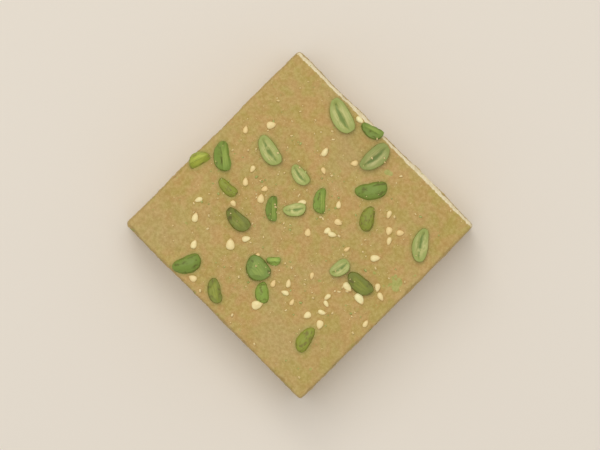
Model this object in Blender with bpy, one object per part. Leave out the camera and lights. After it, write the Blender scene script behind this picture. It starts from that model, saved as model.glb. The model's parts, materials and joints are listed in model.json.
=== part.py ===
"""A square block of pistachio halva, cut from a slab, with chopped and halved pistachios
sprinkled on its top.

Metres, +Z up. The origin lies on the resting face, under the middle of the block, and X and Y
run along the knife cuts. Each piece of nut is an object of its own, resting on the halva.
"""

import math

import bmesh
import bpy
from mathutils import Euler, Matrix, Vector, noise

MM = 0.001
SHARP_ANGLE = 40

# The block of halva, as the knife left it
LENGTH = 53.5 * MM
WIDTH = 53.0 * MM
THICKNESS = 18.0 * MM
EDGE_RADIUS = 0.80 * MM
EDGE_WANDER = 0.60
EDGE_WANDER_LENGTH = 5.0 * MM
BASE_INSET = 0.35 * MM
SIDE_LEAN = 0.30 * MM
KNIFE_WAVE = 0.28 * MM
KNIFE_WAVE_LENGTH = 11.0 * MM
TOP_WAVE = 0.16 * MM
TOP_WAVE_LENGTH = 17.0 * MM

# Where the surface of the block is divided: close together along an edge, wide apart between
EDGE_STEPS = (0.3 * MM, 0.75 * MM, 1.5 * MM)
MIDDLE_STEP = 2.25 * MM

# Pieces of nut: the kernel that each is cut from
AROUND = 10
ALONG = 8
BLUNT_ENDS = 0.20
FATTER_END = 0.14
BOW = 0.12
BASE_CUT = 0.34
RESTING_GAP = 0.30 * MM
CUT_TOLERANCE = 0.0001 * MM

# The groove down a half kernel's cut face: its banks, then its bed, as shares of the cut face
GROOVE_LENGTH = 0.84
GROOVE_BANKS = 0.46
GROOVE_BED = 0.30
GROOVE_DEPTH = 0.07

# Each shape of nut: its thickness as a share of its width, and the knife cuts along its upper
# side, each as a height in shares of the thickness and a tilt in degrees
SHAPES = {
    "half": (1.15, ((0.10, 0),)),
    "slab": (0.85, ((0.18, 6),)),
    "wedge": (1.00, ((0.20, 38), (0.30, -20))),
    "round": (0.72, ()),
}

# Each piece of nut: shape, colour, place along X and Y in mm, turn in degrees, length and width
# in mm, and lean about its own length in degrees
NUTS = (
    ("half", "pale", -10.2, 22.8, -18, 8.2, 4.5, 4),
    ("wedge", "green", -3.3, 25.2, 18, 5.2, 2.8, -5),
    ("half", "pale", 1.0, 21.5, 84, 7.6, 4.2, 6),
    ("round", "green", 5.5, 16.0, 54, 7.2, 3.8, 0),
    ("round", "olive", 9.3, 11.2, -60, 5.6, 3.1, 8),
    ("half", "pale", 21.3, 15.3, -56, 7.4, 3.6, -5),
    ("half", "pale", -15.9, 6.7, -14, 7.2, 3.8, 5),
    ("half", "pale", -7.6, 7.6, -8, 5.2, 3.1, 9),
    ("wedge", "green", -0.5, 6.8, -48, 5.6, 3.1, 0),
    ("wedge", "green", -22.1, -1.2, -40, 6.6, 3.8, 4),
    ("wedge", "olive", -25.1, -5.4, -108, 5.0, 3.2, 0),
    ("wedge", "green", -6.6, -1.7, -48, 5.6, 2.8, 5),
    ("half", "pale", -3.2, 1.5, 52, 5.0, 2.9, -7),
    ("round", "olive", -16.6, -5.3, 2, 5.0, 2.5, 0),
    ("slab", "olive", -10.2, -8.6, 2, 6.2, 3.5, 5),
    ("slab", "green", 0.1, -12.9, -8, 6.0, 4.8, -4),
    ("wedge", "green", 1.4, -9.4, 44, 3.0, 2.0, 6),
    ("round", "green", 4.5, -15.9, -42, 4.6, 3.0, 0),
    ("half", "pale", 12.5, -0.5, 78, 4.8, 3.3, -8),
    ("slab", "olive", 17.9, 0.2, 4, 6.6, 3.6, 5),
    ("round", "olive", 18.1, -16.4, -76, 6.0, 3.1, 0),
    ("round", "green", -11.2, -23.1, 66, 6.4, 3.8, 4),
    ("slab", "olive", -3.0, -22.8, -34, 5.6, 3.0, -5),
)

# Finishes
HALVA_COLOUR = (0.49, 0.34, 0.12)
HALVA_ROUGHNESS = 0.60
NUT_ROUGHNESS = 0.45
NUT_COLOURS = {
    "green": (0.14, 0.27, 0.06),
    "olive": (0.20, 0.22, 0.05),
    "pale": (0.40, 0.50, 0.20),
}


def clear_scene():
    """Removes the objects that a new file starts with."""
    for thing in list(bpy.data.objects):
        bpy.data.objects.remove(thing)


def material(name, colour, roughness):
    """A plain coloured finish."""
    made = bpy.data.materials.new(name)
    made.use_nodes = True
    shader = made.node_tree.nodes["Principled BSDF"]
    shader.inputs["Base Color"].default_value = (*colour, 1.0)
    shader.inputs["Roughness"].default_value = roughness
    shader.inputs["Metallic"].default_value = 0.0
    return made


def add_object(name, shape, finish, collection):
    """An object made from a bmesh, shaded smooth between its sharp edges."""
    mesh = bpy.data.meshes.new(name)
    shape.to_mesh(mesh)
    shape.free()
    mesh.materials.append(finish)
    mesh.shade_smooth()
    mesh.set_sharp_from_angle(angle=math.radians(SHARP_ANGLE))
    made = bpy.data.objects.new(name, mesh)
    collection.objects.link(made)
    return made


def everything(shape):
    """All the geometry of a bmesh, as its cutting operators take it."""
    return shape.verts[:] + shape.edges[:] + shape.faces[:]


def stations(length):
    """Places along one side of the block, from edge to edge, closer together near both edges."""
    first = EDGE_STEPS[-1]
    count = round((length - 2 * first) / MIDDLE_STEP)
    middle = [first + (length - 2 * first) * i / count for i in range(1, count)]
    return [*EDGE_STEPS, *middle, *(length - step for step in reversed(EDGE_STEPS))]


def top_height(x, y):
    """Height of the block's top, which dips and swells a little."""
    return THICKNESS + TOP_WAVE * noise.noise(Vector((x, y, 0.0)) / TOP_WAVE_LENGTH)


def rounded(point):
    """A point of the sharp block, drawn in to its crumbled top edges and upright corners."""
    radius = EDGE_RADIUS * (1 + EDGE_WANDER * noise.noise(point / EDGE_WANDER_LENGTH))
    core = Vector(
        (
            max(-LENGTH / 2 + radius, min(LENGTH / 2 - radius, point.x)),
            max(-WIDTH / 2 + radius, min(WIDTH / 2 - radius, point.y)),
            min(THICKNESS - radius, point.z),
        )
    )
    return core + (point - core).normalized() * radius if point != core else point.copy()


def knife_cut(point):
    """A point of the block, moved by the lean and the wander of the four knife cuts."""
    x, y, z = point
    across, along = 2 * x / LENGTH, 2 * y / WIDTH
    lean = SIDE_LEAN * (0.5 - z / THICKNESS)
    wave_x = noise.noise(Vector((math.copysign(LENGTH, x), y, z)) / KNIFE_WAVE_LENGTH)
    wave_y = noise.noise(Vector((x, math.copysign(WIDTH, y), z)) / KNIFE_WAVE_LENGTH)
    x += across * (lean + KNIFE_WAVE * wave_x)
    y += along * (lean + KNIFE_WAVE * wave_y)
    if z == 0:
        x -= across * BASE_INSET
        y -= along * BASE_INSET
    z += (top_height(x, y) - THICKNESS) * (z / THICKNESS) ** 2
    return Vector((x, y, z))


def halva_block():
    """The block: a cube divided on its surface, then shaped point by point over a flat base."""
    shape = bmesh.new()
    bmesh.ops.create_cube(shape, size=1.0)
    bmesh.ops.scale(shape, vec=(LENGTH, WIDTH, THICKNESS), verts=shape.verts)
    bmesh.ops.translate(shape, vec=(0, 0, THICKNESS / 2), verts=shape.verts)
    lowest = Vector((-LENGTH / 2, -WIDTH / 2, 0))
    for axis, length in zip(Matrix.Identity(3), (LENGTH, WIDTH, THICKNESS)):
        for place in stations(length):
            bmesh.ops.bisect_plane(
                shape, geom=everything(shape), plane_co=lowest + axis * place, plane_no=axis
            )
    base = [face for face in shape.faces if face.normal.z < -0.9]
    bmesh.ops.dissolve_faces(shape, faces=base)
    for vertex in shape.verts:
        on_base = vertex.co.z < EDGE_STEPS[0] / 2
        vertex.co = rounded(vertex.co)
        if on_base:
            vertex.co.z = 0
        vertex.co = knife_cut(vertex.co)
    return shape


def kernel(length, width, thickness):
    """A whole small kernel along X: a ball, drawn out, with blunt ends, and fatter at one."""
    shape = bmesh.new()
    bmesh.ops.create_uvsphere(
        shape,
        u_segments=AROUND,
        v_segments=ALONG,
        radius=1.0,
        matrix=Matrix.Rotation(math.radians(90), 4, "Y"),
    )
    for vertex in shape.verts:
        x, y, z = vertex.co
        girth = (1 + BLUNT_ENDS * x * x) * (1 + FATTER_END * x)
        vertex.co = Vector((x * length, y * girth * width, z * girth * thickness)) / 2
    return shape


def cut_off(shape, point, normal):
    """Cuts off what lies beyond a plane, and gives the flat face that closes the cut."""
    cut = bmesh.ops.bisect_plane(
        shape,
        geom=everything(shape),
        dist=CUT_TOLERANCE,
        plane_co=point,
        plane_no=normal,
        clear_outer=True,
    )
    rim = [edge for edge in cut["geom_cut"] if isinstance(edge, bmesh.types.BMEdge)]
    return bmesh.ops.contextual_create(shape, geom=rim)["faces"][0]


def press_groove(shape, face, depth):
    """Narrows a cut face to the banks of a groove, and sinks its bed between them."""
    for width, drop in ((GROOVE_BANKS, 0), (GROOVE_BED, depth)):
        face = bmesh.ops.extrude_discrete_faces(shape, faces=[face])["faces"][0]
        bmesh.ops.scale(shape, vec=(GROOVE_LENGTH, width, 1), verts=face.verts)
        bmesh.ops.translate(shape, vec=(0, 0, -drop), verts=face.verts)


def bow(shape, length, width):
    """Bends a piece of nut sideways, so that its two ends curve the same way."""
    for vertex in shape.verts:
        along = 2 * vertex.co.x / length
        vertex.co.y += BOW * (along * along - 0.5) * width


def nut_piece(kind, length, width):
    """A piece of kernel of one of the four shapes, with its underside cut flat."""
    share, cuts = SHAPES[kind]
    thickness = width * share
    shape = kernel(length, width, thickness)
    for height, tilt in cuts:
        normal = Vector((0, math.sin(math.radians(tilt)), math.cos(math.radians(tilt))))
        face = cut_off(shape, Vector((0, 0, height * thickness)), normal)
    cut_off(shape, Vector((0, 0, -BASE_CUT * thickness)), Vector((0, 0, -1)))
    if kind == "half":
        press_groove(shape, face, GROOVE_DEPTH * width)
    bow(shape, length, width)
    bmesh.ops.recalc_face_normals(shape, faces=shape.faces)
    return shape


def place_on_block(piece, x, y, turn, lean):
    """Turns and leans a piece of nut, and sets it down a hair above the block's top."""
    pose = Euler((math.radians(lean), 0, math.radians(turn)), "XYZ").to_matrix().to_4x4()
    pose.translation = (x, y, 0)
    corners = [pose @ vertex.co for vertex in piece.data.vertices]
    lift = max(
        top_height(corner.x, corner.y) - corner.z
        for corner in corners
        if abs(corner.x) < LENGTH / 2 and abs(corner.y) < WIDTH / 2
    )
    pose.translation.z = lift + RESTING_GAP
    piece.matrix_world = pose


def main():
    clear_scene()
    parts = bpy.data.collections.new("pistachio_halva_block")
    bpy.context.scene.collection.children.link(parts)
    halva = material("halva", HALVA_COLOUR, HALVA_ROUGHNESS)
    add_object("halva_block", halva_block(), halva, parts)
    finishes = {
        colour: material(f"pistachio_{colour}", value, NUT_ROUGHNESS)
        for colour, value in NUT_COLOURS.items()
    }
    counts = dict.fromkeys(SHAPES, 0)
    for kind, colour, x, y, turn, length, width, lean in NUTS:
        counts[kind] += 1
        shape = nut_piece(kind, length * MM, width * MM)
        piece = add_object(f"pistachio_{kind}_{counts[kind]}", shape, finishes[colour], parts)
        place_on_block(piece, x * MM, y * MM, turn, lean)


main()
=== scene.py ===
import json
import math
import random

import bpy
import numpy as np
from mathutils import Matrix, Vector


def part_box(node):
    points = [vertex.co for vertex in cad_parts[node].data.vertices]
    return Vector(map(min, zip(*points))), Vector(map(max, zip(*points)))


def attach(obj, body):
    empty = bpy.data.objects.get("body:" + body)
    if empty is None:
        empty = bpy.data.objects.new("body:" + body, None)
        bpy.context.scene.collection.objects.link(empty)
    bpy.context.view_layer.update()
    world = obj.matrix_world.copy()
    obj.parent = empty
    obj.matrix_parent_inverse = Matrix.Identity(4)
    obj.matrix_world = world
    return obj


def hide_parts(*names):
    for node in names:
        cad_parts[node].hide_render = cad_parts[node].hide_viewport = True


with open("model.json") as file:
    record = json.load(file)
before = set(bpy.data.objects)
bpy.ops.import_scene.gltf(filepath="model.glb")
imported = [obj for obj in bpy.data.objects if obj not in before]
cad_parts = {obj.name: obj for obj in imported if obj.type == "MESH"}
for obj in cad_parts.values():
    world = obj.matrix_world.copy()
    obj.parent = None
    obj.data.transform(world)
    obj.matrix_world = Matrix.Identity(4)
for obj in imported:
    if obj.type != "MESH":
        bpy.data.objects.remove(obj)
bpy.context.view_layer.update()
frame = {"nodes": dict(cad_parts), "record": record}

# ------------------------------------------------------------------------------------------
# The block of halva. Sesame paste and boiled sugar, pulled into fine threads while hot and
# pressed flat in a tray. It is cut with a knife once it is cold, so the top is smooth, the
# four sides are flaky and grainy, and the edges between them crumble.
# ------------------------------------------------------------------------------------------
MM = 0.001
SAME_POINT = 0.001 * MM
HALVA_MESH_SIZE = 0.27 * MM
FACING_DOWN = -0.9
# A surface counts as top or side by how far up it faces, and fades between two values
TOP_FACING = (0.75, 0.97)
SIDE_FACING = (0.05, 0.60)
# Heights over which the relief fades in above the base, and distances over which an edge ends
BASE_FADE = (0.3 * MM, 1.2 * MM)
EDGE_FADE = (0.3 * MM, 1.6 * MM)
# The back top edge gets a painted highlight, a pale cream rim: how far this reaches over the top and down
# the side
HIGHLIGHT_INWARD = (0.95 * MM, 1.55 * MM)
HIGHLIGHT_DOWN = (0.30 * MM, 1.60 * MM)
# The upright edges are darkened less than the top ones
UPRIGHT_SHARE = 0.4
STRATA_STRETCH = (3.0, 3.0, 1.0)
# A hollow is this deep below the surface smoothed over this many of its mesh's edges
HOLLOW_DEPTH = 0.12 * MM
HOLLOW_REACH = 6
# Weights below this are left out
NO_WEIGHT = 0.001


def select_only(*pieces):
    """Selects these pieces and no others, and makes the first one active."""
    bpy.ops.object.select_all(action="DESELECT")
    for piece in pieces:
        piece.select_set(True)
    bpy.context.view_layer.objects.active = pieces[0]


def copy_of_node(name, node):
    """A copy of a CAD solid with its loose triangles merged into one skin."""
    piece = bpy.data.objects.new(name, frame["nodes"][node].data.copy())
    bpy.context.scene.collection.objects.link(piece)
    piece.data.materials.clear()
    select_only(piece)
    bpy.ops.mesh.customdata_custom_splitnormals_clear()
    bpy.ops.object.mode_set(mode="EDIT")
    bpy.ops.mesh.select_all(action="SELECT")
    bpy.ops.mesh.remove_doubles(threshold=SAME_POINT)
    bpy.ops.object.mode_set(mode="OBJECT")
    return piece


def work(piece, kind, **settings):
    """Puts one modifier on a piece and applies it."""
    modifier = piece.modifiers.new(kind, kind)
    for setting, value in settings.items():
        setattr(modifier, setting, value)
    select_only(piece)
    bpy.ops.object.modifier_apply(modifier=modifier.name)


def relief(name, kind, size, ramp=None, **settings):
    """A procedural relief with features of a given size. A ramp keeps only its high spots."""
    texture = bpy.data.textures.new(name, kind)
    texture.noise_scale = size
    for setting, value in settings.items():
        setattr(texture, setting, value)
    if ramp:
        texture.use_color_ramp = True
        low, high = texture.color_ramp.elements
        low.position, high.position = ramp
        low.color, high.color = (0, 0, 0, 1), (1, 1, 1, 1)
    return texture


def points_of(mesh, field="co"):
    """The places or normals of a mesh's points, as one array."""
    values = np.zeros(len(mesh.vertices) * 3, np.float32)
    mesh.vertices.foreach_get(field, values)
    return values.reshape(-1, 3)


def smooth_step(low, high, value):
    """0 below low, 1 above high, and a smooth rise between."""
    share = np.clip((value - low) / (high - low), 0, 1)
    return share * share * (3 - 2 * share)


def weigh(piece, name, weights):
    """A vertex group with one weight for each point of a piece."""
    group = piece.vertex_groups.new(name=name)
    for index in np.flatnonzero(weights > NO_WEIGHT):
        group.add([int(index)], float(weights[index]), "REPLACE")


def store(piece, name, values):
    """A value for each point of a piece, for its material to read."""
    attribute = piece.data.attributes.new(name, "FLOAT", "POINT")
    attribute.data.foreach_set("value", np.asarray(values, np.float32))


def hollows(mesh, reach, depth):
    """How far each point lies in a hollow (1) or on a rise (-1) of its surroundings."""
    edges = np.zeros(len(mesh.edges) * 2, np.int32)
    mesh.edges.foreach_get("vertices", edges)
    first, second = edges.reshape(-1, 2).T
    count = len(mesh.vertices)
    neighbours = np.bincount(first, minlength=count) + np.bincount(second, minlength=count)
    place = points_of(mesh).astype(float)
    smoothed = place.copy()
    for _ in range(reach):
        total = np.zeros_like(smoothed)
        for axis in range(3):
            total[:, axis] += np.bincount(first, smoothed[second, axis], count)
            total[:, axis] += np.bincount(second, smoothed[first, axis], count)
        smoothed = total / neighbours[:, None]
    rise = ((place - smoothed) * points_of(mesh, "normal")).sum(1)
    return np.clip(-rise / depth, -1, 1)


halva = copy_of_node("halva", "halva_block")
block_low, block_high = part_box("halva_block")
block_span = block_high - block_low
work(halva, "REMESH", mode="VOXEL", voxel_size=HALVA_MESH_SIZE)

# The base becomes one flat face
bpy.ops.object.mode_set(mode="EDIT")
bpy.ops.mesh.select_mode(type="FACE")
bpy.ops.mesh.select_all(action="DESELECT")
bpy.ops.object.mode_set(mode="OBJECT")
for face in halva.data.polygons:
    face.select = face.normal.z < FACING_DOWN and face.center.z < HALVA_MESH_SIZE
bpy.ops.object.mode_set(mode="EDIT")
bpy.ops.mesh.delete(type="FACE")
bpy.ops.mesh.select_mode(type="EDGE")
bpy.ops.mesh.select_all(action="DESELECT")
bpy.ops.mesh.select_non_manifold()
bpy.ops.transform.resize(value=(1, 1, 0), center_override=(0, 0, 0))
bpy.ops.mesh.edge_face_add()
bpy.ops.mesh.select_all(action="SELECT")
bpy.ops.mesh.normals_make_consistent(inside=False)
bpy.ops.object.mode_set(mode="OBJECT")

halva_points, facing = points_of(halva.data), points_of(halva.data, "normal")
half_size = np.array(block_span / 2)
inside_by = half_size[:2] - np.abs(halva_points[:, :2])
to_back = half_size[1] - halva_points[:, 1]
to_top = block_high.z - halva_points[:, 2]
above_base = smooth_step(*BASE_FADE, halva_points[:, 2])
on_top = smooth_step(*TOP_FACING, facing[:, 2])
on_side = (1 - smooth_step(*SIDE_FACING, facing[:, 2])) * above_base
near_top_edge = 1 - smooth_step(*EDGE_FADE, np.maximum(inside_by.min(1), to_top))
near_upright_edge = 1 - smooth_step(*EDGE_FADE, inside_by.max(1))
# Where the painted highlight along the back top edge goes
highlight_rim_reach = (1 - smooth_step(*HIGHLIGHT_INWARD, to_back)) * (1 - smooth_step(*HIGHLIGHT_DOWN, to_top))

weigh(halva, "top", on_top)
weigh(halva, "sides", on_side)
weigh(halva, "edges", np.maximum(near_top_edge, near_upright_edge) * above_base)

# The flat layers: a relief that is drawn out along them takes its places from this
strata = bpy.data.objects.new("strata", None)
bpy.context.scene.collection.objects.link(strata)
strata.scale = STRATA_STRETCH
bpy.context.view_layer.update()

# Each relief: its vertex group, its texture, whether it is drawn out along the strata, its
# depth in millimetres (below zero it digs in) and the level that stays still
RELIEFS = (
    ("sides", relief("flakes", "VORONOI", 1.9 * MM, distance_metric="DISTANCE"), True, 0.30, 0.5),
    ("sides", relief("layers", "CLOUDS", 2.6 * MM, noise_depth=3), True, 0.40, 0.56),
    ("sides", relief("grains", "CLOUDS", 0.70 * MM, noise_depth=2), False, 0.34, 0.56),
    ("sides", relief("torn", "CLOUDS", 2.4 * MM, ramp=(0.58, 0.80), noise_depth=4), True, -0.46, 0.0),
    ("top", relief("press", "CLOUDS", 5.0 * MM, noise_depth=2), False, 0.18, 0.5),
    ("top", relief("top grains", "CLOUDS", 0.75 * MM, noise_depth=2), False, 0.13, 0.5),
    ("top", relief("top chips", "CLOUDS", 2.4 * MM, ramp=(0.68, 0.80), noise_depth=4), False, -0.10, 0.0),
    ("edges", relief("chips", "CLOUDS", 2.2 * MM, ramp=(0.54, 0.74), noise_depth=2), False, -0.34, 0.0),
    ("edges", relief("crumble", "CLOUDS", 0.8 * MM, noise_depth=1), False, 0.20, 0.6),
)
for group, texture, drawn_out, depth, still in RELIEFS:
    along_strata = {"texture_coords": "OBJECT", "texture_coords_object": strata} if drawn_out else {}
    work(
        halva,
        "DISPLACE",
        texture=texture,
        vertex_group=group,
        strength=depth * MM,
        mid_level=still,
        **along_strata,
    )
bpy.data.objects.remove(strata)
halva.data.shade_smooth()
store(halva, "hollow", hollows(halva.data, HOLLOW_REACH, HOLLOW_DEPTH))
store(halva, "edge", np.maximum(near_top_edge, UPRIGHT_SHARE * near_upright_edge) * above_base)
store(halva, "side", on_side)
# The reach of the painted highlight along the back top edge, for the material
store(halva, "painted_highlight", highlight_rim_reach)

# Bits of chopped nut that lie flush in the halva: places in shares of the block's box, and
# radii in millimetres. Each fades out between two shares of its radius
FLUSH_NUTS = (
    ((0.935, 0.60, 1.0), 2.2), ((0.60, 0.90, 1.0), 1.3),
    ((0.0, 0.30, 0.55), 1.9), ((0.0, 0.74, 0.30), 1.4), ((1.0, 0.22, 0.40), 1.6), ((1.0, 0.66, 0.70), 2.1),
    ((0.27, 0.0, 0.62), 2.0), ((0.71, 0.0, 0.28), 1.6), ((0.36, 1.0, 0.35), 1.7), ((0.82, 1.0, 0.66), 2.0),
)
FLUSH_CORE = 0.2
FLUSH_REACH = 1.1
halva_points = points_of(halva.data)
flush_nut = np.zeros(len(halva_points), np.float32)
for shares, radius in FLUSH_NUTS:
    middle = np.array(block_low) + np.array(shares) * np.array(block_span)
    away = np.linalg.norm(halva_points - middle, axis=1)
    near = 1 - smooth_step(FLUSH_CORE * radius * MM, FLUSH_REACH * radius * MM, away)
    flush_nut = np.maximum(flush_nut, near)
store(halva, "flush_nut", flush_nut)


def add(tree, kind, inputs=(), **settings):
    """A shader node with its settings, its inputs set to values or joined to other sockets."""
    node = tree.nodes.new(kind)
    for setting, value in settings.items():
        setattr(node, setting, value)
    for socket, value in dict(inputs).items():
        if isinstance(value, bpy.types.NodeSocket):
            tree.links.new(value, node.inputs[socket])
        else:
            node.inputs[socket].default_value = value
    return node


def blank_finish(name):
    """A material with only its Principled shader: the material, its tree and the shader."""
    finish = bpy.data.materials.new(name)
    finish.use_nodes = True
    return finish, finish.node_tree, finish.node_tree.nodes["Principled BSDF"]


def object_places(tree):
    """Places on the object itself, for a pattern to follow."""
    return add(tree, "ShaderNodeTexCoord").outputs["Object"]


def stored(tree, name, output="Fac"):
    """What was stored on a piece's points."""
    return add(tree, "ShaderNodeAttribute", attribute_name=name).outputs[output]


def maths(tree, operation, *values):
    """One sum with numbers and sockets."""
    return add(tree, "ShaderNodeMath", enumerate(values), operation=operation).outputs[0]


def mix(tree, share, first, second, blend="MIX"):
    """Two colours mixed by a share. The node's sockets 6 and 7 and its result 2 are colours."""
    node = tree.nodes.new("ShaderNodeMix")
    node.data_type, node.blend_type = "RGBA", blend
    for socket, value in ((0, share), (6, first), (7, second)):
        if isinstance(value, bpy.types.NodeSocket):
            tree.links.new(value, node.inputs[socket])
        else:
            node.inputs[socket].default_value = value if socket == 0 else (*value, 1)
    return node.outputs[2]


def tint(tree, mask, colour, other, strength):
    """A colour with some of another one in it, where a mask says."""
    return mix(tree, mask, colour, mix(tree, strength, colour, other))


def pull(tree, mask, colour, low, high, strength):
    """A colour pulled to one side where a mask is 0, and to another where it is 1."""
    return mix(tree, mask, mix(tree, strength, colour, low), mix(tree, strength, colour, high))


def mix_values(tree, share, first, second):
    """Two values mixed by a share. The same node's sockets 2 and 3 and its result 0 are values."""
    return add(tree, "ShaderNodeMix", {0: share, 2: first, 3: second}).outputs[0]


def ramp_share(tree, value, low, high):
    """A value mapped from low..high to 0..1 with soft ends."""
    return add(
        tree,
        "ShaderNodeMapRange",
        {"Value": value, "From Min": low, "From Max": high},
        interpolation_type="SMOOTHSTEP",
    ).outputs["Result"]


def uneven_roughness(tree, pattern, least, most):
    """A noise's usual range, 0.3 to 0.7, mapped to a range of roughness."""
    ends = {"Value": pattern, "From Min": 0.3, "From Max": 0.7, "To Min": least, "To Max": most}
    return add(tree, "ShaderNodeMapRange", ends).outputs["Result"]


def noise(tree, where, size, detail=2.0, roughness=0.5, offset=(0, 0, 0), stretch=(1, 1, 1)):
    """Noise with features of a given size in metres, which can be stretched along an axis."""
    scale = tuple(1 / (size * part) for part in stretch)
    mapped = add(tree, "ShaderNodeMapping", {"Vector": where, "Location": offset, "Scale": scale})
    node = add(
        tree,
        "ShaderNodeTexNoise",
        {"Vector": mapped.outputs["Vector"], "Scale": 1.0, "Detail": detail, "Roughness": roughness},
    )
    return node.outputs["Fac"]


def pushed_about(tree, where, size, reach):
    """The same places, moved about by noise with features of a given size."""
    push = add(tree, "ShaderNodeTexNoise", {"Vector": where, "Scale": 1 / size}).outputs["Color"]
    moved = add(tree, "ShaderNodeVectorMath", {0: push, 1: reach, 2: where}, operation="MULTIPLY_ADD")
    return moved.outputs["Vector"]


def relieve(tree, shader, height, strength, depth):
    """Gives a finish a relief too fine for the mesh."""
    bump = add(tree, "ShaderNodeBump", {"Height": height, "Strength": strength, "Distance": depth})
    tree.links.new(bump.outputs["Normal"], shader.inputs["Normal"])


TAN = (0.509, 0.353, 0.092)
WARM_TAN = (0.571, 0.354, 0.101)
OLIVE_GOLD = (0.474, 0.344, 0.066)
ROSY_TAN = (0.606, 0.338, 0.105)
GOLD = (0.480, 0.395, 0.065)
# A pale tan for patches of painted sheen
PAINTED_SHEEN = (0.539, 0.394, 0.141)
CUT_FACE = (0.640, 0.465, 0.185)
DEEP_TAN = (0.330, 0.205, 0.055)
# A pale crumb colour, also used for painted highlights on rises and in the back edge's rim
PALE_CRUMB_AND_HIGHLIGHT = (0.680, 0.530, 0.240)
# Near-white cream of the painted highlight along the back top edge
HIGHLIGHT_CREAM = (0.880, 0.765, 0.500)
FLUSH_GREEN = (0.330, 0.400, 0.075)
FLUSH_PALE = (0.460, 0.500, 0.140)
FLUSH_SKIN = (0.180, 0.200, 0.050)
# Darker green beside the nuts: a stain that is partly painted shade
NUT_STAIN_AND_SHADE = (0.300, 0.330, 0.080)
# Distances from the middle of the base over which the halva turns olive
TURNS_OLIVE = (22 * MM, 38 * MM)
CUT_PALENESS = 0.45
# Sizes of what the finish shows
WARM_PATCH = 9 * MM
GOLDEN_PATCH = 3 * MM
SHEEN_PATCH = 14 * MM
OILY_PATCH = 5 * MM
GRAIN = 0.70 * MM
FINE_GRAIN = 0.22 * MM
STRAND = 0.45 * MM
FLAKE = 0.48 * MM
FLAKE_FLATNESS = (0.36, 0.36, 1.0)
FLAKE_WAVE = 1.2 * MM
FLAKE_WAVE_REACH = (1.1 * MM, 1.1 * MM, 0.9 * MM)
THREAD = 0.55 * MM
THREAD_FOLD = 6 * MM
THREAD_FOLD_REACH = (26 * MM, 26 * MM, 26 * MM)
RAGGED_BORDER = 0.9 * MM
HIGHLIGHT_GRAIN = 0.55 * MM
TORN_BIT = 1.5 * MM
BITE = 0.8 * MM
HIGHLIGHT_ROUGHNESS = 0.34
# How ragged the outlines are
HIGHLIGHT_RAGGEDNESS = 1.6
BIT_RAGGEDNESS = 2.6
# How strongly a flush bit of nut shows, and how much more where it is cut through
BIT_STRENGTH = 0.68
CUT_BIT_EXTRA = 0.22
# Heights in the finest relief, beside the fine grain's 1
THREAD_HEIGHT = 0.8
CUT_BIT_HEIGHT = 2.6

finish, tree, shader = blank_finish("halva")
where = object_places(tree)
side = stored(tree, "side")
hollow = stored(tree, "hollow")

# Tan, more olive towards the edges, with warm and golden patches, and hazy patches of painted sheen
from_base = add(tree, "ShaderNodeVectorMath", {0: where}, operation="LENGTH").outputs["Value"]
outward = ramp_share(tree, from_base, *TURNS_OLIVE)
warm = ramp_share(tree, noise(tree, where, WARM_PATCH, offset=(3, 1, 0)), 0.40, 0.64)
golden = ramp_share(tree, noise(tree, where, GOLDEN_PATCH, 1.5, offset=(2, 8, 5)), 0.38, 0.62)
sheen_patches = ramp_share(tree, noise(tree, where, SHEEN_PATCH, 1, offset=(7, 4, 2)), 0.50, 0.78)
colour = mix(tree, outward, TAN, OLIVE_GOLD)
colour = mix(tree, warm, colour, WARM_TAN)
colour = pull(tree, golden, colour, ROSY_TAN, GOLD, strength=0.46)
colour = tint(tree, sheen_patches, colour, PAINTED_SHEEN, strength=0.6)

# The cut sides are paler, with fine strands and with flat flakes, some pale and some dark
strands = ramp_share(tree, noise(tree, where, STRAND, 4, 0.65, stretch=(2.6, 2.6, 1)), 0.35, 0.68)
waved = pushed_about(tree, where, FLAKE_WAVE, FLAKE_WAVE_REACH)
flattened = add(tree, "ShaderNodeMapping", {"Vector": waved, "Scale": FLAKE_FLATNESS})
cells = add(tree, "ShaderNodeTexVoronoi", {"Vector": flattened.outputs["Vector"], "Scale": 1 / FLAKE})
flake = add(tree, "ShaderNodeSeparateColor", {0: cells.outputs["Color"]}).outputs[0]
freshly_cut = mix(tree, CUT_PALENESS, colour, CUT_FACE)
freshly_cut = tint(tree, strands, freshly_cut, DEEP_TAN, strength=0.26)
freshly_cut = tint(tree, ramp_share(tree, flake, 0.55, 1.0), freshly_cut, PALE_CRUMB_AND_HIGHLIGHT, strength=0.40)
freshly_cut = tint(tree, ramp_share(tree, flake, 0.40, 0.0), freshly_cut, DEEP_TAN, strength=0.22)
colour = mix(tree, side, colour, freshly_cut)

# The pulled threads, folded over one another, and the grain
folded = pushed_about(tree, where, THREAD_FOLD, THREAD_FOLD_REACH)
threads = noise(tree, folded, THREAD, 3, 0.6, offset=(1, 6, 2), stretch=(5, 1, 2))
grain = ramp_share(tree, noise(tree, where, GRAIN, 3, 0.7), 0.35, 0.68)
colour = tint(tree, ramp_share(tree, threads, 0.56, 0.72), colour, PALE_CRUMB_AND_HIGHLIGHT, strength=0.26)
colour = tint(tree, ramp_share(tree, threads, 0.42, 0.28), colour, DEEP_TAN, strength=0.20)
colour = pull(tree, grain, colour, DEEP_TAN, PALE_CRUMB_AND_HIGHLIGHT, strength=0.28)

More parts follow.
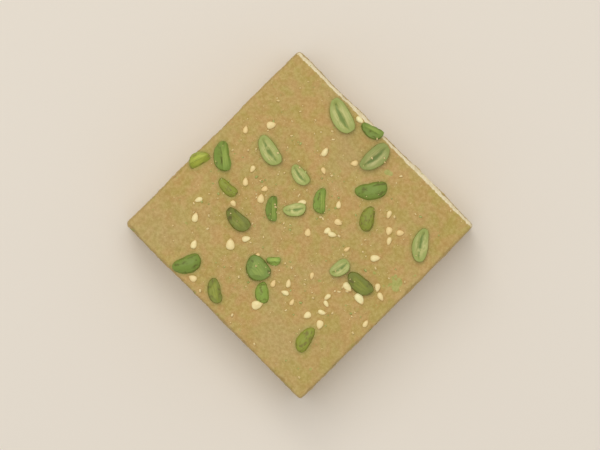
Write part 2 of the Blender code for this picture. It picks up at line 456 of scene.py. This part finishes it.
# Painted shade in the hollows and a painted highlight on the rises, darker along the edges, and beside the
# nuts a darker green stain that is partly painted shade
edge = stored(tree, "edge")
colour = tint(tree, ramp_share(tree, hollow, 0.15, 1.0), colour, DEEP_TAN, strength=0.32)
colour = tint(tree, ramp_share(tree, hollow, -0.15, -0.9), colour, PALE_CRUMB_AND_HIGHLIGHT, strength=0.22)
colour = tint(tree, ramp_share(tree, edge, 0.35, 1.0), colour, DEEP_TAN, strength=0.30)
stain_and_shade = ramp_share(tree, stored(tree, "beside_nuts"), 0.0, 1.0)
colour = tint(tree, stain_and_shade, colour, NUT_STAIN_AND_SHADE, strength=0.30)

# A painted highlight along the back top edge: cream and crumbly, with a ragged border
border = noise(tree, where, RAGGED_BORDER, 3, 0.6)
ragged = maths(tree, "MULTIPLY_ADD", border, HIGHLIGHT_RAGGEDNESS, stored(tree, "painted_highlight"))
painted_highlight = ramp_share(tree, ragged, 1.12, 1.50)
crumbly = ramp_share(tree, noise(tree, where, HIGHLIGHT_GRAIN, 3, 0.65, offset=(9, 2, 3)), 0.40, 0.66)
colour = mix(tree, painted_highlight, colour, tint(tree, crumbly, HIGHLIGHT_CREAM, PALE_CRUMB_AND_HIGHLIGHT, strength=0.45))

# Bits of nut flush with the halva: large where they were placed, and small flecks elsewhere.
# On the sides the knife went through them, so they show better and have a line of skin round
torn = noise(tree, where, TORN_BIT, offset=(4, 4, 4))
in_bit = maths(tree, "MULTIPLY_ADD", torn, BIT_RAGGEDNESS, stored(tree, "flush_nut"))
skin_line = maths(tree, "MULTIPLY", ramp_share(tree, in_bit, 1.76, 1.84), side)
bit_strength = maths(tree, "MULTIPLY_ADD", side, CUT_BIT_EXTRA, BIT_STRENGTH)
bitten = ramp_share(tree, noise(tree, where, BITE, 3, 0.6, offset=(6, 6, 1)), 0.38, 0.62)
bit_colour = mix(tree, bitten, FLUSH_GREEN, FLUSH_PALE)
colour = tint(tree, skin_line, colour, FLUSH_SKIN, strength=0.6)
colour = tint(tree, ramp_share(tree, in_bit, 1.80, 1.96), colour, bit_colour, bit_strength)
tree.links.new(colour, shader.inputs["Base Color"])

oily = noise(tree, where, OILY_PATCH, offset=(5, 9, 1))
roughness = mix_values(tree, painted_highlight, uneven_roughness(tree, oily, 0.50, 0.72), HIGHLIGHT_ROUGHNESS)
tree.links.new(roughness, shader.inputs["Roughness"])

height = maths(tree, "MULTIPLY_ADD", threads, THREAD_HEIGHT, noise(tree, where, FINE_GRAIN, 3, 0.6))
height = maths(tree, "MULTIPLY_ADD", flake, side, height)
in_cut_bit = maths(tree, "MULTIPLY", ramp_share(tree, in_bit, 1.76, 1.86), side)
height = mix_values(tree, in_cut_bit, height, CUT_BIT_HEIGHT)
relieve(tree, shader, height, strength=0.8, depth=0.13 * MM)
halva.data.materials.append(finish)

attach(halva, "root")
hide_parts("halva_block")

# ------------------------------------------------------------------------------------------
# The pieces of pistachio. Shelled kernels, some split in half and some chopped or sliced with
# a knife, scattered over the halva and pressed lightly into it. Each keeps its rounded outer
# side and has flat, paler cut faces. A split kernel has a groove down its cut face.
# ------------------------------------------------------------------------------------------
PRESSED_IN = 0.36
GAP_BELOW = 0.30 * MM
CUT_ANGLE = math.radians(32)
CUT_CREASE = 0.62
SMOOTHINGS = 3
LUMP_DEPTH = 0.42 * MM
WRINKLE_DEPTH = 0.13 * MM
# Two triangles are parallel above this, and one plane within this height. A plane is a cut if
# it has this share of the piece's skin and faces up by this much
PARALLEL = 0.9995
ONE_LEVEL = 0.02 * MM
CUT_AREA = 0.09
CUT_FACING = 0.3
GROOVE_DEPTH = 0.15 * MM
NO_GROOVE = (9.0,)
# How light each piece is beside the others of its colour. The second half (half_2) is darker by a painted
# shadow
NUT_LIGHTNESS = {
    "half": (0.98, 0.81, 0.95, 0.98, 1.02, 1.03, 0.98),
    "round": (0.98, 1.13, 1.22, 1.26, 1.25, 0.96),
    "slab": (0.77, 0.88, 0.79, 0.93),
    "wedge": (0.95, 1.13, 1.02, 1.45, 0.95, 1.20),
}


def nut_frame(mesh):
    """The middle of a piece of nut, its axes (along, across and up) and its reach on each."""
    place = points_of(mesh).astype(float)
    middle = (place.max(0) + place.min(0)) / 2
    flat = place[:, :2] - place[:, :2].mean(0)
    spread, directions = np.linalg.eigh(flat.T @ flat)
    along = np.append(directions[:, spread.argmax()], 0)
    axes = np.stack((along, (-along[1], along[0], 0), (0, 0, 1)), 1)
    reach = np.abs((place - middle) @ axes).max(0)
    return middle, axes, reach


def own_places(mesh, middle, axes, reach):
    """Each point of a piece of nut along its length, across it and up it, from -1 to 1."""
    return (points_of(mesh).astype(float) - middle) @ axes / reach


def cut_points(mesh):
    """1 for each point on a knife's cut, and 1 for each point on the bed of a groove."""
    normals = np.array([face.normal for face in mesh.polygons])
    areas = np.array([face.area for face in mesh.polygons])
    heights = np.array([face.normal.dot(face.center) for face in mesh.polygons])
    parallel = normals @ normals.T > PARALLEL
    level = np.abs(heights[:, None] - heights[None, :]) < ONE_LEVEL
    in_plane = ((parallel & level) * areas[None, :]).sum(1)
    faces_up = normals[:, 2] > CUT_FACING
    cut, bed = np.zeros(len(mesh.vertices)), np.zeros(len(mesh.vertices))
    for index in np.flatnonzero((in_plane > CUT_AREA * areas.sum()) & faces_up):
        cut[list(mesh.polygons[index].vertices)] = 1
        lower = parallel[index] & (heights < heights[index] - GROOVE_DEPTH)
        for below in np.flatnonzero(lower & faces_up):
            bed[list(mesh.polygons[below].vertices)] = 1
    return cut, bed


nut_wrinkles = relief("nut wrinkles", "CLOUDS", 0.9 * MM, noise_depth=2)
nut_lumps = relief("nut lumps", "CLOUDS", 2.6 * MM, noise_depth=1)


def pistachio(node):
    """One piece of nut: its solid rounded between its knife cuts, wrinkled and pressed in."""
    _, shape, number = node.split("_")
    piece = copy_of_node(node + "_flesh", node)
    down = GAP_BELOW + PRESSED_IN * piece.dimensions.z
    bpy.ops.object.mode_set(mode="EDIT")
    bpy.ops.mesh.select_all(action="SELECT")
    bpy.ops.transform.translate(value=(0, 0, -down))
    bpy.ops.mesh.tris_convert_to_quads()
    bpy.ops.mesh.select_all(action="DESELECT")
    bpy.ops.mesh.select_mode(type="EDGE")
    bpy.ops.mesh.edges_select_sharp(sharpness=CUT_ANGLE)
    bpy.ops.transform.edge_crease(value=CUT_CREASE)
    bpy.ops.object.mode_set(mode="OBJECT")
    cut, bed = cut_points(piece.data)
    nut = nut_frame(piece.data)
    groove = NO_GROOVE
    if shape == "half":
        cut = np.maximum(cut, bed)
        on_bed = own_places(piece.data, *nut)[bed > 0.5]
        groove = np.polyfit(on_bed[:, 0], on_bed[:, 1], 2)
    store(piece, "cut", cut)
    work(piece, "SUBSURF", levels=SMOOTHINGS, render_levels=SMOOTHINGS)
    work(piece, "DISPLACE", texture=nut_lumps, strength=LUMP_DEPTH, mid_level=0.5)
    work(piece, "DISPLACE", texture=nut_wrinkles, strength=WRINKLE_DEPTH, mid_level=0.5)
    own = own_places(piece.data, *nut)
    attribute = piece.data.attributes.new("nut_place", "FLOAT_VECTOR", "POINT")
    attribute.data.foreach_set("vector", own.astype(np.float32).ravel())
    store(piece, "from_groove", own[:, 1] - np.polyval(groove, own[:, 0]))
    store(piece, "chance", np.full(len(own), random.random()))
    store(piece, "lightness", np.full(len(own), NUT_LIGHTNESS[shape][int(number) - 1]))
    return piece


# The flesh of every nut, in colours that each finish gives. Its patterns go by a piece's own
# places, which run from -1 to 1
PATTERN_SHIFT = 40.0
RIM_UNEVENNESS = 0.5
GROOVE_SWAY = 0.30
GROOVE_TAPER = 0.38
flesh = bpy.data.node_groups.new("Pistachio flesh", "ShaderNodeTree")
for socket in ("Cut", "Cut Rim", "Groove", "Outside", "Skin"):
    flesh.interface.new_socket(socket, in_out="INPUT", socket_type="NodeSocketColor")
flesh.interface.new_socket("Skin Left", in_out="INPUT", socket_type="NodeSocketFloat")
flesh.interface.new_socket("Colour", in_out="OUTPUT", socket_type="NodeSocketColor")
flesh.interface.new_socket("Roughness", in_out="OUTPUT", socket_type="NodeSocketFloat")
flesh.interface.new_socket("Height", in_out="OUTPUT", socket_type="NodeSocketFloat")
given = flesh.nodes.new("NodeGroupInput").outputs
result = flesh.nodes.new("NodeGroupOutput").inputs
own_place = stored(flesh, "nut_place", "Vector")
along, across, _ = add(flesh, "ShaderNodeSeparateXYZ", {0: own_place}).outputs

# Each piece has its own stretch of the same pattern
shift = maths(flesh, "MULTIPLY", stored(flesh, "chance"), PATTERN_SHIFT)
apart = add(flesh, "ShaderNodeVectorMath", {0: own_place, 1: shift}, operation="ADD").outputs["Vector"]
streaks = noise(flesh, apart, 1.0, 3, 0.6, stretch=(0.75, 0.16, 0.16))
mottles = noise(flesh, apart, 0.45, 3, 0.55)
dashes = ramp_share(flesh, noise(flesh, apart, 1.0, stretch=(0.42, 2.0, 2.0)), 0.26, 0.50)

# The cut face is pale in the middle, greener at its rim and in streaks
flat_place = add(flesh, "ShaderNodeCombineXYZ", {0: along, 1: across}).outputs[0]
radius = add(flesh, "ShaderNodeVectorMath", {0: flat_place}, operation="LENGTH").outputs["Value"]
to_rim = ramp_share(flesh, maths(flesh, "MULTIPLY_ADD", mottles, RIM_UNEVENNESS, radius), 0.55, 1.15)
cut_colour = mix(flesh, to_rim, given["Cut"], given["Cut Rim"])
in_streak = ramp_share(flesh, streaks, 0.44, 0.62)
cut_colour = tint(flesh, in_streak, cut_colour, given["Cut Rim"], strength=0.75)

# The groove sways a little, narrows to its ends and is broken here and there
sway = maths(flesh, "MULTIPLY_ADD", mottles, GROOVE_SWAY, -GROOVE_SWAY / 2)
off_groove = maths(flesh, "ABSOLUTE", maths(flesh, "ADD", stored(flesh, "from_groove"), sway))
to_end = maths(flesh, "MULTIPLY", along, along)
narrowing = maths(flesh, "MULTIPLY_ADD", to_end, GROOVE_TAPER, off_groove)
in_groove = maths(flesh, "MULTIPLY", ramp_share(flesh, narrowing, 0.34, 0.06), dashes)
cut_colour = mix(flesh, in_groove, cut_colour, given["Groove"])

# The outer side keeps scraps of its darker skin
skin_left = ramp_share(flesh, maths(flesh, "ADD", mottles, given["Skin Left"]), 0.50, 0.66)
outside = mix(flesh, skin_left, given["Outside"], given["Skin"])
nut_colour = mix(flesh, ramp_share(flesh, stored(flesh, "cut"), 0.80, 0.97), outside, cut_colour)
nut_colour = mix(flesh, 1.0, nut_colour, stored(flesh, "lightness"), "MULTIPLY")
flesh.links.new(nut_colour, result["Colour"])
flesh.links.new(uneven_roughness(flesh, mottles, 0.42, 0.60), result["Roughness"])
flesh.links.new(streaks, result["Height"])


def nut_finish(name, skin_left, **colours):
    """A finish for pieces of nut, in its own colours."""
    finish, tree, shader = blank_finish(name)
    made = add(tree, "ShaderNodeGroup", {"Skin Left": skin_left}, node_tree=flesh)
    for socket, colour in colours.items():
        made.inputs[socket.replace("_", " ").title()].default_value = (*colour, 1)
    tree.links.new(made.outputs["Colour"], shader.inputs["Base Color"])
    tree.links.new(made.outputs["Roughness"], shader.inputs["Roughness"])
    shader.inputs["Specular IOR Level"].default_value = 0.32
    relieve(tree, shader, made.outputs["Height"], strength=0.5, depth=0.08 * MM)
    return finish


NUT_FINISHES = {
    "pale": nut_finish(
        "pistachio, pale",
        skin_left=-0.03,
        cut=(0.618, 0.594, 0.232),
        cut_rim=(0.360, 0.412, 0.108),
        groove=(0.198, 0.272, 0.060),
        outside=(0.293, 0.329, 0.075),
        skin=(0.198, 0.188, 0.045),
    ),
    "green": nut_finish(
        "pistachio, green",
        skin_left=0.0,
        cut=(0.342, 0.443, 0.090),
        cut_rim=(0.225, 0.322, 0.059),
        groove=(0.119, 0.169, 0.029),
        outside=(0.214, 0.302, 0.050),
        skin=(0.148, 0.170, 0.029),
    ),
    "olive": nut_finish(
        "pistachio, olive",
        skin_left=0.02,
        cut=(0.335, 0.363, 0.050),
        cut_rim=(0.226, 0.257, 0.030),
        groove=(0.121, 0.136, 0.024),
        outside=(0.240, 0.268, 0.037),
        skin=(0.184, 0.161, 0.034),
    ),
}


def joined(name, pieces, finish):
    """Many small things made one piece, with one finish."""
    select_only(*pieces)
    bpy.ops.object.join()
    pieces[0].name = name
    pieces[0].data.shade_smooth()
    pieces[0].data.materials.append(finish)
    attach(pieces[0], "root")
    return pieces[0]


random.seed(121186)
slot_of = {part["node"]: part["material_slot"] for part in frame["record"]["subparts"]}
pressed = []
for shade, nut_material in NUT_FINISHES.items():
    nodes = sorted(node for node, slot in slot_of.items() if slot == f"pistachio_{shade}")
    nuts = joined(f"pistachios_{shade}", [pistachio(node) for node in nodes], nut_material)
    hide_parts(*nodes)
    pressed.append(nuts)

# Round each piece the halva is pushed up into a low lip, and stained by the nut with a darker green that
# is partly painted shade
LIP_WIDTH = 1.0 * MM
LIP_HEIGHT = 0.16 * MM
halva_points = points_of(halva.data)
beside_nuts = np.zeros(len(halva_points))
for index in np.flatnonzero(halva_points[:, 2] > block_high.z - EDGE_FADE[1]):
    point = Vector(halva_points[index])
    for nuts in pressed:
        found, touched, _, _ = nuts.closest_point_on_mesh(point, distance=LIP_WIDTH)
        if found:
            beside_nuts[index] = max(beside_nuts[index], 1 - (touched - point).length / LIP_WIDTH)
beside_nuts = smooth_step(0, 1, beside_nuts)
weigh(halva, "beside nuts", beside_nuts)
work(halva, "DISPLACE", vertex_group="beside nuts", strength=LIP_HEIGHT, mid_level=0)
store(halva, "beside_nuts", beside_nuts)

# ------------------------------------------------------------------------------------------
# The sesame seeds. Hulled and lightly toasted, so cream with a darker tip: flat drops about
# two millimetres long, shaken over the block and stuck where they fell.
# ------------------------------------------------------------------------------------------
# Each seed: its place in shares of the block's length and width, its turn in degrees, its
# length in millimetres before SEED_SCALE is applied, and how pale it is
SEEDS = (
    (0.081, 0.616, -55, 2.0, 0.1), (0.141, 0.702, 55, 2.5, 0.4), (0.211, 0.524, -75, 1.9, 0.3),
    (0.226, 0.468, -50, 2.2, 0.2), (0.316, 0.465, -55, 2.4, 0.3), (0.145, 0.284, 65, 2.2, 0.7),
    (0.185, 0.226, -60, 2.5, 0.6), (0.375, 0.965, 5, 2.4, 1.0), (0.366, 0.778, -75, 2.6, 0.6),
    (0.480, 0.827, 50, 2.0, 0.1), (0.551, 0.667, -55, 2.0, 0.4), (0.601, 0.616, 15, 2.1, 0.2),
    (0.720, 0.780, -65, 2.2, 0.3), (0.767, 0.733, -60, 2.2, 0.2), (0.804, 0.762, 45, 2.0, 0.1),
    (0.593, 0.559, 75, 2.0, 0.7), (0.618, 0.564, 30, 2.4, 0.7), (0.542, 0.502, -55, 2.1, 0.1),
    (0.442, 0.568, 50, 2.4, 0.6), (0.257, 0.146, -65, 2.4, 0.6), (0.358, 0.250, -47, 3.0, 0.5),
    (0.389, 0.310, 55, 2.3, 0.7), (0.468, 0.290, -75, 1.9, 0.0), (0.348, 0.046, 15, 2.2, 0.3),
    (0.588, 0.260, -70, 2.0, 0.0), (0.631, 0.303, -55, 2.3, 0.4), (0.647, 0.266, 25, 2.2, 0.7),
    (0.694, 0.260, -75, 1.9, 0.1), (0.604, 0.155, 60, 3.0, 0.6), (0.676, 0.389, -55, 1.9, 0.1),
    (0.795, 0.705, -60, 2.2, 0.4), (0.804, 0.620, 50, 2.6, 0.7), (0.808, 0.460, -5, 2.8, 0.7),
    (0.874, 0.460, -15, 3.2, 1.0), (0.893, 0.541, -55, 2.2, 0.4), (0.927, 0.524, -15, 2.4, 0.4),
    (0.778, 0.373, 85, 2.1, 0.6), (0.795, 0.351, -15, 2.0, 0.6), (0.807, 0.315, 25, 2.2, 0.7),
    (0.773, 0.264, 75, 2.2, 0.6), (0.835, 0.273, -60, 2.4, 0.5), (0.960, 0.407, -75, 2.1, 0.4),
    (0.300, 0.500, 65, 1.8, 0.0), (0.415, 0.720, -25, 1.8, 0.1), (0.255, 0.372, -15, 1.8, 0.2),
    (0.700, 0.565, 80, 1.8, 0.0),
)
SEED_SCALE = 0.86
SEED_THICKNESS = 0.36
SEED_SUNK = 0.28
SEED_DENT_DEPTH = 0.10
# Three kinds of seed: how wide each is to its length, how pointed, and the size of its dents
SEED_KINDS = ((0.54, 0.6, 0.38), (0.62, 0.8, 0.50), (0.70, 0.95, 0.65))
UP = Vector((0, 0, 1))


def top_at(x, y, *pieces):
    """The highest point of some pieces under a place, and which way it faces."""
    found = (Vector((x, y, 0)), UP)
    for piece in pieces:
        hit, point, normal, _ = piece.ray_cast(Vector((x, y, 2 * block_high.z)), -UP)
        if hit and point.z > found[0].z:
            found = (point, normal)
    return found


def lay(model, name, x, y, turn, size, sunk, *pieces):
    """A copy of a small thing, of a given length, laid down on what is under its place."""
    point, normal = top_at(x, y, *pieces)
    copy = bpy.data.objects.new(name, model.data.copy())
    bpy.context.scene.collection.objects.link(copy)
    lean = UP.rotation_difference(normal.lerp(UP, 0.5))
    turned = lean.to_matrix().to_4x4() @ Matrix.Rotation(turn, 4, "Z") @ Matrix.Scale(size, 4)
    raised = point + normal * model.dimensions.z * size * (0.5 - sunk)
    copy.data.transform(Matrix.Translation(raised) @ turned)
    return copy


def sesame_seed(width, point, dent):
    """A seed of unit length along X: a ball drawn out to a point, flattened and dented."""
    bpy.ops.object.select_all(action="DESELECT")
    bpy.ops.mesh.primitive_uv_sphere_add(
        segments=20, ring_count=14, radius=0.5, location=(0, 0, 0), rotation=(0, math.pi / 2, 0)
    )
    seed = bpy.context.object
    bpy.ops.object.transform_apply(location=False, rotation=True, scale=False)
    work(seed, "SIMPLE_DEFORM", deform_method="TAPER", deform_axis="X", factor=point)
    bpy.ops.object.mode_set(mode="EDIT")
    bpy.ops.mesh.select_all(action="SELECT")
    bpy.ops.transform.resize(value=(1, width, SEED_THICKNESS), center_override=(0, 0, 0))
    bpy.ops.object.mode_set(mode="OBJECT")
    store(seed, "along", points_of(seed.data)[:, 0] + 0.5)
    dents = relief(f"seed dents {dent}", "CLOUDS", dent, noise_depth=1)
    work(seed, "DISPLACE", texture=dents, strength=SEED_DENT_DEPTH, mid_level=0.5)
    return seed


seed_models = [sesame_seed(*shape) for shape in SEED_KINDS]
seeds = []
random.seed(21)
for share_x, share_y, turn, length, paleness in SEEDS:
    x, y = block_low.x + share_x * block_span.x, block_low.y + share_y * block_span.y
    flip = random.choice((0, math.pi))
    model = random.choice(seed_models)
    seed = lay(model, "seed", x, y, math.radians(turn) + flip, SEED_SCALE * length * MM, SEED_SUNK, halva)
    store(seed, "tone", np.full(len(seed.data.vertices), paleness))
    seeds.append(seed)
for model in seed_models:
    bpy.data.objects.remove(model)

TOASTED = (0.88, 0.64, 0.27)
CREAM = (0.98, 0.90, 0.48)
SEED_BLOTCH = (0.80, 0.52, 0.20)
SEED_TIP = (0.74, 0.50, 0.20)

finish, tree, shader = blank_finish("sesame seed")
where = object_places(tree)
blotches = ramp_share(tree, noise(tree, where, 0.6 * MM), 0.35, 0.7)
at_tip = ramp_share(tree, stored(tree, "along"), 0.28, 0.02)
colour = mix(tree, stored(tree, "tone"), TOASTED, CREAM)
colour = tint(tree, blotches, colour, SEED_BLOTCH, strength=0.25)
colour = mix(tree, at_tip, colour, SEED_TIP)
tree.links.new(colour, shader.inputs["Base Color"])
shader.inputs["Roughness"].default_value = 0.42
relieve(tree, shader, noise(tree, where, 0.25 * MM), strength=0.4, depth=0.04 * MM)
sesame = joined("sesame_seeds", seeds, finish)

# ------------------------------------------------------------------------------------------
# The crumbs. Bits of halva that came off under the knife and dust from the chopped nuts, most
# under half a millimetre, lying all over the top and on the nuts, thickest in the middle.
# ------------------------------------------------------------------------------------------
HALVA_CRUMBS = 300
NUT_CRUMBS = 110
CRUMB_SMALLEST = 0.22 * MM
CRUMB_LARGEST = 0.75 * MM
CRUMB_SUNK = 0.2
CRUMB_LUMP_DEPTH = 0.9
CRUMB_SHAPE = (1, 0.75, 0.55)
CRUMB_LUMPS = (0.5, 0.8, 1.1)
# How far crumbs spread from the middle, in shares of the block, and stay from its edge
CRUMB_SPREAD = 0.30
KEPT_FROM_EDGE = 1.2 * MM


def crumb(lump):
    """One angular crumb of unit size."""
    bpy.ops.object.select_all(action="DESELECT")
    bpy.ops.mesh.primitive_ico_sphere_add(subdivisions=2, radius=0.5, location=(0, 0, 0))
    piece = bpy.context.object
    lumps = relief(f"crumb {lump}", "CLOUDS", lump, noise_depth=1)
    work(piece, "DISPLACE", texture=lumps, strength=CRUMB_LUMP_DEPTH, mid_level=0.5)
    bpy.ops.object.mode_set(mode="EDIT")
    bpy.ops.mesh.select_all(action="SELECT")
    bpy.ops.transform.resize(value=CRUMB_SHAPE, center_override=(0, 0, 0))
    bpy.ops.object.mode_set(mode="OBJECT")
    return piece


def scattered(name, models, count, finish, *under):
    """Crumbs strewn over the top: more in the middle, and most of them small."""
    laid = []
    while len(laid) < count:
        x = random.gauss(0, CRUMB_SPREAD) * block_span.x
        y = random.gauss(0, CRUMB_SPREAD) * block_span.y
        if max(abs(x), abs(y)) > half_size[0] - KEPT_FROM_EDGE:
            continue
        size = CRUMB_SMALLEST + (CRUMB_LARGEST - CRUMB_SMALLEST) * random.random() ** 2.5
        model, turn = random.choice(models), random.uniform(0, 2 * math.pi)
        bit = lay(model, name, x, y, turn, size, CRUMB_SUNK, *under)
        store(bit, "tone", np.full(len(bit.data.vertices), random.random()))
        laid.append(bit)
    return joined(name, laid, finish)


def crumb_finish(name, first, second, roughness):
    """Each crumb in its own colour between two."""
    finish, tree, shader = blank_finish(name)
    mottled = mix(tree, noise(tree, object_places(tree), 0.2 * MM, 1), first, second)
    tree.links.new(mix(tree, stored(tree, "tone"), mottled, second), shader.inputs["Base Color"])
    shader.inputs["Roughness"].default_value = roughness
    return finish


crumb_models = [crumb(lump) for lump in CRUMB_LUMPS]
halva_dust = crumb_finish("halva crumbs", (0.66, 0.46, 0.16), (0.86, 0.68, 0.33), roughness=0.6)
halva_crumbs = scattered("halva_crumbs", crumb_models, HALVA_CRUMBS, halva_dust, halva, *pressed)
nut_dust = crumb_finish("nut crumbs", (0.30, 0.35, 0.07), (0.50, 0.54, 0.17), roughness=0.5)
nut_crumbs = scattered("nut_crumbs", crumb_models, NUT_CRUMBS, nut_dust, halva, *pressed)
for model in crumb_models:
    bpy.data.objects.remove(model)

# ------------------------------------------------------------------------------------------
# The floor, the light and the camera, which aren't part of the block. The camera looks
# straight down, with the block turned to stand on its corner.
# ------------------------------------------------------------------------------------------
FLOOR_SIZE = 8.0
FLOOR_COLOUR = (0.845, 0.780, 0.690)
ROOM_COLOUR = (1.0, 0.985, 0.96)
ROOM_STRENGTH = 0.505
CAMERA_HEIGHT = 0.66
CAMERA_TURN = math.radians(45)
CAMERA_LENS, CAMERA_SENSOR = 180, 36
NEAREST_SEEN = 0.01

bpy.ops.object.select_all(action="DESELECT")
bpy.ops.mesh.primitive_plane_add(size=FLOOR_SIZE, location=(0, 0, 0))
floor = bpy.context.object
floor.name = "floor"
finish, tree, shader = blank_finish("floor")
shader.inputs["Base Color"].default_value = (*FLOOR_COLOUR, 1)
shader.inputs["Roughness"].default_value = 0.9
shader.inputs["Specular IOR Level"].default_value = 0.1
floor.data.materials.append(finish)


def softbox(name, turn, height, distance, size, power, colour):
    """A square soft light, turned round and raised above the block, facing its middle."""
    light = bpy.data.lights.new(name, "AREA")
    light.shape, light.size, light.size_y = "RECTANGLE", size, size
    light.energy, light.color = power, colour
    stand = bpy.data.objects.new(name, light)
    turn, height = math.radians(turn), math.radians(height)
    stand.location = distance * Vector(
        (math.cos(turn) * math.cos(height), math.sin(turn) * math.cos(height), math.sin(height))
    )
    stand.rotation_euler = (-stand.location).to_track_quat("-Z", "Y").to_euler()
    bpy.context.scene.collection.objects.link(stand)


softbox("window", turn=150, height=50, distance=1.1, size=0.40, power=1.40, colour=ROOM_COLOUR)
softbox("overhead", turn=150, height=80, distance=1.1, size=0.80, power=4.55, colour=(1.0, 0.99, 0.97))

world = bpy.data.worlds.new("room")
bpy.context.scene.world = world
world.use_nodes = True
background = world.node_tree.nodes["Background"]
background.inputs["Color"].default_value = (*ROOM_COLOUR, 1)
background.inputs["Strength"].default_value = ROOM_STRENGTH

camera = bpy.data.cameras.new("camera")
camera.lens, camera.sensor_width = CAMERA_LENS, CAMERA_SENSOR
camera.clip_start = NEAREST_SEEN
viewer = bpy.data.objects.new("camera", camera)
viewer.location = (0, 0, CAMERA_HEIGHT)
viewer.rotation_euler = (0, 0, CAMERA_TURN)
bpy.context.scene.collection.objects.link(viewer)
bpy.context.scene.camera = viewer
bpy.context.scene.view_settings.view_transform = "Standard"
